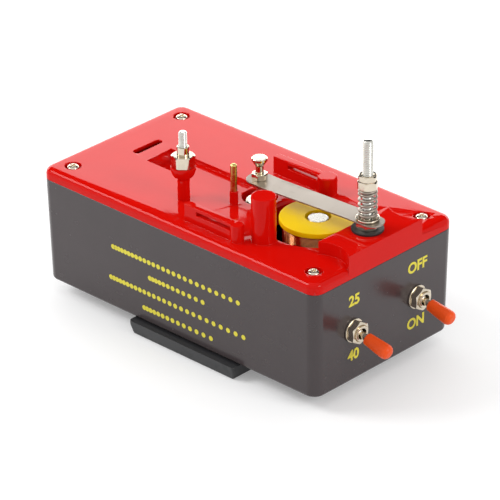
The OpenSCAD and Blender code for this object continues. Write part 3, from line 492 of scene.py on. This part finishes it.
def lead(start, leave, end, arrive):
    """The mesh of one lead. leave and arrive are the offsets of the bend's handles, all in mm."""
    curve = bpy.data.curves.new("lead", "CURVE")
    curve.dimensions, curve.bevel_depth, curve.bevel_resolution = "3D", lead_radius * mm, 4
    curve.resolution_u, curve.use_fill_caps = 20, True
    line = curve.splines.new("BEZIER")
    line.bezier_points.add(3)
    start, leave, end, arrive = (Vector(v) for v in (start, leave, end, arrive))
    out, home = leave.normalized(), arrive.normalized()
    spots = (start, start + out * lead_straight, end + home * lead_straight, end)
    before = (-out * straight_handle, -out * straight_handle, arrive, home * straight_handle)
    after = (out * straight_handle, leave, -home * straight_handle, -home * straight_handle)
    for point, at, back_to, on_to in zip(line.bezier_points, spots, before, after):
        point.co, point.handle_left, point.handle_right = at * mm, (at + back_to) * mm, (at + on_to) * mm
    rounded = bpy.data.objects.new("lead", curve)
    bpy.context.scene.collection.objects.link(rounded)
    bpy.context.view_layer.update()
    mesh = bpy.data.meshes.new_from_object(rounded.evaluated_get(bpy.context.evaluated_depsgraph_get()))
    bpy.data.objects.remove(rounded)
    return mesh


def lay_leads(node, routes):
    """Replaces a node's leads. Each route is (start, leave, end, arrive) as lead takes it."""
    whole = bmesh.new()
    for route in routes:
        part = lead(*route)
        whole.from_mesh(part)
        bpy.data.meshes.remove(part)
    bmesh.ops.remove_doubles(whole, verts=whole.verts, dist=fine_weld)
    bmesh.ops.recalc_face_normals(whole, faces=whole.faces)
    return piece_from(whole, "laid_" + node, body_of[node], slot_of[node], [node], 50)


# %% [markdown]
# Two leads come from the coil, two from the supply sockets and two from each switch, one per solder tag. All
# of them end on the board. The two sides of the case mirror each other, so one loop lays both.

# %% Lay the leads
board_top = 16.2
tag_pitch = 4.7
coil_routes, switch_routes, supply_routes = [], [], []
for side in (-1, 1):
    coil_routes.append(((23.0, side * 5, 29.7), (-12, 0, 0), (-7.5, side * 3, board_top), (0, 0, 12)))
    supply_routes.append(((-52.6, side * 9.5, 29.8), (8, 0, 0), (-54.0, side * 15, board_top), (0, 0, 8)))
    for tag in (0, 1):
        switch_routes.append(((50.8, side * 17.1, 26.8 - tag_pitch * tag), (-24, 0, 0),
                              (-7.5, side * (9 + 3 * tag), board_top), (0, 0, 11)))
print("leads laid:", [lay_leads(n, r).name for n, r in (
    ("coil_leads", coil_routes), ("switch_leads", switch_routes), ("supply_leads", supply_routes))])

# %% [markdown]
# ## Printing on the case
# The marks beside the switches are printed in yellow. Text is made as a flat curve, given a hair's
# thickness, turned into a mesh and only then carried to the wall, because a mesh keeps its place when it
# is exported. The wall leans in slightly towards the foot, and the marks lean with it.


# %% Carry a mark to a wall
case_low, case_high = solid("base_case")[1:]
wall_lean_in, wall_height = 0.8, 42.5
lean = math.atan2(wall_lean_in, wall_height)
print_depth = 0.06 * mm


def on_wall(along, upward, place):
    """The matrix that carries a mark from the XY plane to a wall, with its face outwards."""
    return Matrix.Translation(place) @ Matrix((along, upward, along.cross(upward))).transposed().to_4x4()


def end_wall(y, z):
    """A place on the wall with the switches."""
    x = case_high.x - math.tan(lean) * (case_high.z - z)
    return on_wall(Vector((0, 1, 0)), Vector((math.sin(lean), 0, math.cos(lean))), (x, y, z))


def side_wall(x, z):
    """A place on the long wall in front."""
    y = case_low.y + math.tan(lean) * (case_high.z - z)
    return on_wall(Vector((1, 0, 0)), Vector((0, -math.sin(lean), math.cos(lean))), (x, y, z))


# %% [markdown]
# Real printing has thicker strokes than Blender's own letters, so the outline is grown a little. The ink has
# a finish of its own, though the marks are listed in the yellow slot of the bobbin.

# %% Print the switch marks
capital_share = 0.72
stroke_growth = 0.045


def printed(words, height):
    """A bmesh of flat letters in the XY plane, centred, with a hair's thickness."""
    text = bpy.data.curves.new("letters", "FONT")
    text.body, text.align_x, text.align_y = words, "CENTER", "CENTER"
    text.size, text.extrude, text.resolution_u = height / capital_share, print_depth, 6
    text.offset = stroke_growth * height
    holder = bpy.data.objects.new("letters", text)
    bpy.context.scene.collection.objects.link(holder)
    bpy.context.view_layer.update()
    mesh = bpy.data.meshes.new_from_object(holder.evaluated_get(bpy.context.evaluated_depsgraph_get()))
    bpy.data.objects.remove(holder)
    bm = bmesh.new()
    bm.from_mesh(mesh)
    bpy.data.meshes.remove(mesh)
    bmesh.ops.remove_doubles(bm, verts=bm.verts, dist=fine_weld)
    return bm


for name, words, y, z, height in (
        ("print_off", "OFF", 17.4, 39.4, 4.3), ("print_on", "ON", 17.3, 15.9, 4.3),
        ("print_slow", "25", -16.7, 38.8, 4.2), ("print_fast", "40", -16.6, 16.2, 4.2)):
    bm = printed(words, height * mm)
    bmesh.ops.transform(bm, matrix=end_wall(y * mm, z * mm), verts=bm.verts)
    mark = piece_from(bm, name, "timer_case", "bobbin_plastic")
    print(name, "has", len(mark.data.polygons), "faces")

# %% [markdown]
# The long side has four rows of plain dots, spaced as a timer marks them on a tape that speeds up: each gap
# is a little wider than the one before. Each dot is a filled circle, carried to the wall and raised.

# %% Print rows of dots on the long side
dot_radius, dot_points = 1.0 * mm, 20
steady, growing = 0.55, 0.45
rows = ((-32.5, 31.7, 31.8, 26), (-13.5, 13.7, 25.3, 12), (-34.3, 34.1, 18.3, 26), (-17.1, 17.4, 11.5, 14))
bm = bmesh.new()
for first, last, z, count in rows:
    for i in range(count):
        share = i / (count - 1)
        x = first + (last - first) * (steady * share + growing * share * share)
        spot = side_wall(x * mm, z * mm)
        dot = bmesh.ops.create_circle(bm, cap_ends=True, cap_tris=False, segments=dot_points,
                                      radius=dot_radius, matrix=spot)
        raised = bmesh.ops.extrude_face_region(bm, geom=dot["verts"][0].link_faces[:])["geom"]
        bmesh.ops.translate(bm, vec=spot.to_3x3() @ Vector((0, 0, print_depth)),
                            verts=[g for g in raised if isinstance(g, bmesh.types.BMVert)])
bmesh.ops.recalc_face_normals(bm, faces=bm.faces)
dots = piece_from(bm, "print_dots", "timer_case", "bobbin_plastic")
print("dots:", len(dots.data.polygons), "faces")

# %% [markdown]
# ## Patterns shared by the finishes
# Real surfaces vary: colour drifts, gloss is uneven, and moulded skin is never quite flat. Each such effect
# is a node group with named inputs, built once and placed in every finish with its own values.


# %% Helpers for nodes
def new_group(name, inputs, outputs):
    """A node group. inputs is a list of (name, default), outputs a list of (name, kind)."""
    group = bpy.data.node_groups.new(name, "ShaderNodeTree")
    for label, value in inputs:
        kind = "NodeSocketColor" if isinstance(value, tuple) else "NodeSocketFloat"
        group.interface.new_socket(name=label, in_out="INPUT", socket_type=kind).default_value = value
    for label, kind in outputs:
        group.interface.new_socket(name=label, in_out="OUTPUT", socket_type=kind)
    return group, group.nodes.new("NodeGroupInput"), group.nodes.new("NodeGroupOutput")


def add(tree, kind, **values):
    """Adds a node. A value whose key is in_N sets input N, any other sets a property of the node."""
    node = tree.nodes.new(kind)
    for key, value in values.items():
        if key.startswith("in_"):
            node.inputs[int(key[3:])].default_value = value
        else:
            setattr(node, key, value)
    return node


def stretched_noise(tree, stretch, scale, detail, roughness=0.55):
    """Noise on Object coordinates. stretch scales each axis: a small number draws the noise out."""
    place_node = add(tree, "ShaderNodeTexCoord")
    mapping = add(tree, "ShaderNodeMapping")
    mapping.inputs["Scale"].default_value = stretch
    noise = add(tree, "ShaderNodeTexNoise")
    noise.inputs["Detail"].default_value = detail
    noise.inputs["Roughness"].default_value = roughness
    tree.links.new(place_node.outputs["Object"], mapping.inputs["Vector"])
    tree.links.new(mapping.outputs["Vector"], noise.inputs["Vector"])
    tree.links.new(scale, noise.inputs["Scale"])
    return noise


# %% [markdown]
# Uneven gloss and colour come from one cloudy field. Between its low and high places, the roughness runs
# from one limit to the other, and the colour gets darker by the share called Drift.

# %% Build the uneven finish
cloud_low, cloud_high = 0.3, 0.7
uneven, given, result = new_group(
    "uneven finish", [("Colour", (0.5, 0.5, 0.5, 1)), ("Drift", 0.1), ("Scale", 60.0),
                      ("Gloss Low", 0.1), ("Gloss High", 0.2)],
    [("Colour", "NodeSocketColor"), ("Roughness", "NodeSocketFloat")])
field = stretched_noise(uneven, (1, 1, 1), given.outputs["Scale"], 5)
spread = add(uneven, "ShaderNodeMapRange", in_1=cloud_low, in_2=cloud_high)
uneven.links.new(field.outputs["Fac"], spread.inputs[0])
uneven.links.new(given.outputs["Gloss Low"], spread.inputs[3])
uneven.links.new(given.outputs["Gloss High"], spread.inputs[4])
darker = add(uneven, "ShaderNodeMath", operation="SUBTRACT", in_0=1.0)
uneven.links.new(given.outputs["Drift"], darker.inputs[1])
shade = add(uneven, "ShaderNodeMapRange", in_1=cloud_low, in_2=cloud_high, in_4=1.0)
uneven.links.new(field.outputs["Fac"], shade.inputs[0])
uneven.links.new(darker.outputs[0], shade.inputs[3])
tint = add(uneven, "ShaderNodeVectorMath", operation="SCALE")
uneven.links.new(given.outputs["Colour"], tint.inputs[0])
uneven.links.new(shade.outputs[0], tint.inputs["Scale"])
uneven.links.new(tint.outputs["Vector"], result.inputs["Colour"])
uneven.links.new(spread.outputs[0], result.inputs["Roughness"])
print("uneven finish:", len(uneven.nodes), "nodes")

# %% [markdown]
# Scuffs are the thin long marks that a gloss surface picks up from handling. Two noises, each drawn out
# along another axis, are multiplied, and only the highest places of the product count as marks. They add
# to the roughness, the more so the larger Amount is.

# %% Build the scuffs
mark_low, mark_high = 0.33, 0.42
scuffs, given, result = new_group("scuffs", [("Roughness", 0.2), ("Amount", 0.2), ("Scale", 300.0)],
                                  [("Roughness", "NodeSocketFloat")])
marks = [stretched_noise(scuffs, stretch, given.outputs["Scale"], 2, 0.4)
         for stretch in ((0.05, 1.0, 1.0), (1.0, 0.06, 0.8))]
both = add(scuffs, "ShaderNodeMath", operation="MULTIPLY")
for i, noise in enumerate(marks):
    scuffs.links.new(noise.outputs["Fac"], both.inputs[i])
few = add(scuffs, "ShaderNodeMapRange", in_1=mark_low, in_2=mark_high)
scuffs.links.new(both.outputs[0], few.inputs[0])
strength = add(scuffs, "ShaderNodeMath", operation="MULTIPLY")
scuffs.links.new(few.outputs[0], strength.inputs[0])
scuffs.links.new(given.outputs["Amount"], strength.inputs[1])
total = add(scuffs, "ShaderNodeMath", operation="ADD", use_clamp=True)
scuffs.links.new(given.outputs["Roughness"], total.inputs[0])
scuffs.links.new(strength.outputs[0], total.inputs[1])
scuffs.links.new(total.outputs[0], result.inputs["Roughness"])
print("scuffs:", len(scuffs.nodes), "nodes")

# %% [markdown]
# Two kinds of skin give the fine relief: the even pores of a moulding, and the long lines that a roll
# leaves on spring steel, drawn out along X.

# %% Build the skins
skin, given, result = new_group("skin", [("Scale", 400.0)], [("Height", "NodeSocketFloat")])
pores = stretched_noise(skin, (1, 1, 1), given.outputs["Scale"], 3)
skin.links.new(pores.outputs["Fac"], result.inputs["Height"])

rolled, given, result = new_group("rolled skin", [("Scale", 3000.0)], [("Height", "NodeSocketFloat")])
lines = stretched_noise(rolled, (0.02, 1, 1), given.outputs["Scale"], 3)
rolled.links.new(lines.outputs["Fac"], result.inputs["Height"])
print("node groups:", [g.name for g in bpy.data.node_groups])

# %% [markdown]
# ## The finishes
# Each finish is one material with its own shader. Plain numbers, such as how metallic it is, sit on the
# shader itself. The groups feed only what changes over the surface: colour, roughness and height.


# %% Make a finish
scuff_scale = 300.0
coat_roughness = 0.06


def finish(slot, colour, gloss, drift=0.12, cloud=60.0, metallic=0.0, skin_group="skin", skin_scale=900.0,
           skin_height=0.01, scuff=0.1, coat=0.0, specular=0.5):
    """A material. colour is linear, gloss holds the two limits of roughness, skin_height is in mm."""
    material = bpy.data.materials.new(slot)
    material.use_nodes = True
    tree = material.node_tree
    shader = tree.nodes["Principled BSDF"]
    shader.inputs["Metallic"].default_value = metallic
    shader.inputs["Coat Weight"].default_value = coat
    shader.inputs["Coat Roughness"].default_value = coat_roughness
    shader.inputs["Specular IOR Level"].default_value = specular
    base = add(tree, "ShaderNodeGroup", node_tree=bpy.data.node_groups["uneven finish"])
    base.inputs["Colour"].default_value = (*colour, 1)
    base.inputs["Drift"].default_value = drift
    base.inputs["Scale"].default_value = cloud
    base.inputs["Gloss Low"].default_value, base.inputs["Gloss High"].default_value = gloss
    worn = add(tree, "ShaderNodeGroup", node_tree=bpy.data.node_groups["scuffs"])
    worn.inputs["Amount"].default_value = scuff
    worn.inputs["Scale"].default_value = scuff_scale
    height = add(tree, "ShaderNodeGroup", node_tree=bpy.data.node_groups[skin_group])
    height.inputs["Scale"].default_value = skin_scale
    bump = add(tree, "ShaderNodeBump")
    bump.inputs["Strength"].default_value = 1
    bump.inputs["Distance"].default_value = skin_height * mm
    tree.links.new(base.outputs["Colour"], shader.inputs["Base Color"])
    tree.links.new(base.outputs["Roughness"], worn.inputs["Roughness"])
    tree.links.new(worn.outputs["Roughness"], shader.inputs["Roughness"])
    tree.links.new(height.outputs["Height"], bump.inputs["Height"])
    tree.links.new(bump.outputs["Normal"], shader.inputs["Normal"])
    return material


# %% [markdown]
# The case is a dark grey moulding with a satin gloss, and the foot under it is matt. The lid is polished: it
# mirrors what stands behind it, so its roughness is very low. Its specular level is low as well, because
# the red has to stay deep where it mirrors the dark half of the room.

# %% Finishes of the case, the foot and the lid
finishes = {
    "case_plastic": finish("case_plastic", (0.047, 0.034, 0.036), (0.16, 0.24), skin_height=0.006),
    "foot_plastic": finish("foot_plastic", (0.020, 0.020, 0.022), (0.35, 0.5), skin_height=0.02),
    "lid_plastic": finish("lid_plastic", (0.66, 0.004, 0.0015), (0.012, 0.03), drift=0.06,
                          skin_scale=150, skin_height=0.002, scuff=0.03, specular=0.12)}
print("finishes so far:", len(finishes))

# %% [markdown]
# Nuts and levers are nickel plated, warm and bright. The threaded rods and the magnet's iron are zinc plated,
# greyer and duller. The strip is bare rolled steel, the disc pin is brass, and the winding is copper under
# a clear enamel, which is a coat on a metal.

# %% Finishes of the metal parts
finishes.update({
    "nickel": finish("nickel", (0.70, 0.62, 0.50), (0.06, 0.16), cloud=400, metallic=1, skin_height=0.004),
    "zinc_steel": finish("zinc_steel", (0.66, 0.65, 0.60), (0.2, 0.34), cloud=400, metallic=1,
                         skin_height=0.006),
    "spring_steel": finish("spring_steel", (0.34, 0.295, 0.25), (0.30, 0.42), cloud=150, metallic=1,
                           skin_group="rolled skin", skin_height=0.003),
    "brass": finish("brass", (0.60, 0.46, 0.15), (0.15, 0.3), cloud=300, metallic=1, skin_height=0.004),
    "enamelled_wire": finish("enamelled_wire", (0.60, 0.22, 0.07), (0.15, 0.25), metallic=1, coat=0.8)})
print("finishes so far:", len(finishes))

# %% [markdown]
# The bobbin is a bright yellow moulding and the levers wear soft orange sleeves. The parts inside the case
# have the plain colours that such parts come in.

# %% Finishes of the small plastic parts
finishes.update({
    "fibre": finish("fibre", (0.015, 0.014, 0.014), (0.4, 0.6), skin_height=0.03),
    "bobbin_plastic": finish("bobbin_plastic", (0.98, 0.67, 0.001), (0.3, 0.4), drift=0.04, specular=0.10),
    "sleeve_plastic": finish("sleeve_plastic", (0.86, 0.088, 0.010), (0.28, 0.38), drift=0.05,
                             specular=0.2),
    "red_plastic": finish("red_plastic", (0.55, 0.010, 0.010), (0.15, 0.25)),
    "black_plastic": finish("black_plastic", (0.018, 0.018, 0.020), (0.25, 0.4)),
    "board": finish("board", (0.02, 0.14, 0.05), (0.15, 0.25), drift=0.3, cloud=250, coat=0.3),
    "switch_plastic": finish("switch_plastic", (0.02, 0.06, 0.32), (0.3, 0.4)),
    "capacitor_sleeve": finish("capacitor_sleeve", (0.02, 0.02, 0.09), (0.12, 0.2)),
    "resistor_body": finish("resistor_body", (0.55, 0.40, 0.20), (0.3, 0.4)),
    "lead_red": finish("lead_red", (0.50, 0.012, 0.010), (0.3, 0.4)),
    "lead_black": finish("lead_black", (0.02, 0.02, 0.02), (0.3, 0.4))})
print("finishes so far:", len(finishes))

# %% [markdown]
# Every solid and every new piece carries the name of its slot, so one loop hands out the finishes. The
# printed marks get the ink.

# %% Give every piece its finish
ink = finish("yellow_ink", (0.80, 0.70, 0.06), (0.35, 0.5), cloud=900, specular=0.3)
for obj in list(bpy.context.scene.objects):
    slot = slot_of.get(obj.name) or obj.get("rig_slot")
    if obj.type == "MESH" and slot:
        obj.data.materials.clear()
        obj.data.materials.append(ink if obj.name.startswith("print") else finishes[slot])

# %% [markdown]
# ## Floor, world and lamps
# The photograph has a white background and soft light from all round. A white world lights the object at a
# plain level, and two large soft lamps give the light a direction. The floor is pale and takes the shadow.
# The camera and mirrored rays get an extra glow from it, so that it looks white without lighting the object.

# %% Lay the floor
floor_half, floor_drop = 6, 0.2 * mm
floor_glow = 0.22
bm = bmesh.new()
bmesh.ops.create_grid(bm, x_segments=1, y_segments=1, size=floor_half)
floor_mesh = bpy.data.meshes.new("floor")
bm.to_mesh(floor_mesh)
bm.free()
floor = bpy.data.objects.new("floor", floor_mesh)
floor.location.z = -floor_drop
bpy.context.scene.collection.objects.link(floor)

floor_material = bpy.data.materials.new("pale floor")
floor_material.use_nodes = True
tree = floor_material.node_tree
shader = tree.nodes["Principled BSDF"]
shader.inputs["Base Color"].default_value = (0.82, 0.82, 0.82, 1)
shader.inputs["Roughness"].default_value = 0.9
shader.inputs["Specular IOR Level"].default_value = 0.1
path = add(tree, "ShaderNodeLightPath")
glow = add(tree, "ShaderNodeMath", operation="MAXIMUM")
tree.links.new(path.outputs["Is Camera Ray"], glow.inputs[0])
tree.links.new(path.outputs["Is Glossy Ray"], glow.inputs[1])
glow_level = add(tree, "ShaderNodeMath", operation="MULTIPLY", in_1=floor_glow)
tree.links.new(glow.outputs[0], glow_level.inputs[0])
shader.inputs["Emission Color"].default_value = (1, 1, 1, 1)
tree.links.new(glow_level.outputs[0], shader.inputs["Emission Strength"])
floor.data.materials.append(floor_material)
print("floor", 2 * floor_half, "m wide")

# %% [markdown]
# A camera ray, a mirrored ray and a ray through something clear all see the world at strength 1, which is
# white. Every other ray, which only carries light to the object, sees it dimmer.

# %% Light the world
world_light, world_seen = 0.70, 1.0
world = bpy.data.worlds.new("soft white")
bpy.context.scene.world = world
world.use_nodes = True
tree = world.node_tree
path = add(tree, "ShaderNodeLightPath")
seen = add(tree, "ShaderNodeMath", operation="MAXIMUM")
tree.links.new(path.outputs["Is Camera Ray"], seen.inputs[0])
tree.links.new(path.outputs["Is Glossy Ray"], seen.inputs[1])
seen_through = add(tree, "ShaderNodeMath", operation="MAXIMUM")
tree.links.new(seen.outputs[0], seen_through.inputs[0])
tree.links.new(path.outputs["Is Transmission Ray"], seen_through.inputs[1])
world_level = add(tree, "ShaderNodeMapRange", in_3=world_light, in_4=world_seen)
tree.links.new(seen_through.outputs[0], world_level.inputs[0])
tree.links.new(world_level.outputs[0], tree.nodes["Background"].inputs["Strength"])
tree.nodes["Background"].inputs["Color"].default_value = (1, 1, 1, 1)
print("world lights at", world_light, "and is seen at", world_seen)

# %% [markdown]
# The stronger lamp stands in front on the left, as the bright long side and the shadow on the right show. The
# weaker one fills the end with the switches.

# %% Hang two soft lamps
lamp_aim = Vector((0, 0, 0.03))


def soft_lamp(name, at, size, power):
    """A round lamp of size metres across and power watts, aimed at the object."""
    lamp = bpy.data.lights.new(name, "AREA")
    lamp.shape, lamp.size, lamp.energy = "DISK", size, power
    obj = bpy.data.objects.new(name, lamp)
    obj.location = at
    obj.rotation_euler = (lamp_aim - Vector(at)).to_track_quat("-Z", "Y").to_euler()
    bpy.context.scene.collection.objects.link(obj)
    print(name, power, "W")


soft_lamp("left lamp", (-0.95, -0.75, 1.05), 0.7, 10)
soft_lamp("right lamp", (1.2, 0.1, 0.8), 0.6, 5)

# %% [markdown]
# In the photograph the glossy lid mirrors a white sheet behind the object on its left half, and something
# dark above the sheet's top edge on its right half. A low bright card and a dark flag over it stand behind
# the object in the same way. Both are hidden from the camera itself.

# %% Stand the card behind the object
away = Vector((-back.x, -back.y, 0)).normalized()
card_distance, card_top, card_width = 0.6, 0.374, 1.6
card_strength = 2.5
facing = Matrix((-level, Vector((0, 0, 1)), away)).transposed().to_4x4()


def behind(height):
    """A place behind the object at a height, turned to face it."""
    return Matrix.Translation(away * card_distance + Vector((0, 0, height))) @ facing


card = bpy.data.lights.new("white card", "AREA")
card.shape, card.size, card.size_y = "RECTANGLE", card_width, card_top
card.energy = card_strength * math.pi * card_width * card_top
card_object = bpy.data.objects.new("white card", card)
card_object.matrix_world = behind(card_top / 2)
card_object.visible_camera = False
bpy.context.scene.collection.objects.link(card_object)
print("card", round(card.energy, 2), "W")

# %% [markdown]
# The flag is a plain dark sheet, twice as wide as the card. It takes part in mirrored rays alone, so it
# darkens what the lid mirrors and nothing else.

# %% Stand the flag over the card
flag_width, flag_height = 2 * card_width, 1.6
bm = bmesh.new()
bmesh.ops.create_grid(bm, x_segments=1, y_segments=1, size=0.5)
bmesh.ops.scale(bm, vec=(flag_width, flag_height, 1), verts=bm.verts)
flag_mesh = bpy.data.meshes.new("flag")
bm.to_mesh(flag_mesh)
bm.free()
flag = bpy.data.objects.new("flag", flag_mesh)
flag.matrix_world = behind(card_top + flag_height / 2)
bpy.context.scene.collection.objects.link(flag)
flag_material = bpy.data.materials.new("dark felt")
flag_material.use_nodes = True
shader = flag_material.node_tree.nodes["Principled BSDF"]
shader.inputs["Base Color"].default_value = (0.03, 0.03, 0.03, 1)
shader.inputs["Specular IOR Level"].default_value = 0
flag.data.materials.append(flag_material)
flag.visible_camera = flag.visible_diffuse = flag.visible_shadow = flag.visible_transmission = False
print("flag from", card_top, "to", round(card_top + flag_height, 3), "m")

# %% [markdown]
# ## The end
# The colours are shown plainly, through the Standard view transform.

# %% Show the colours plainly
bpy.context.scene.view_settings.view_transform = "Standard"
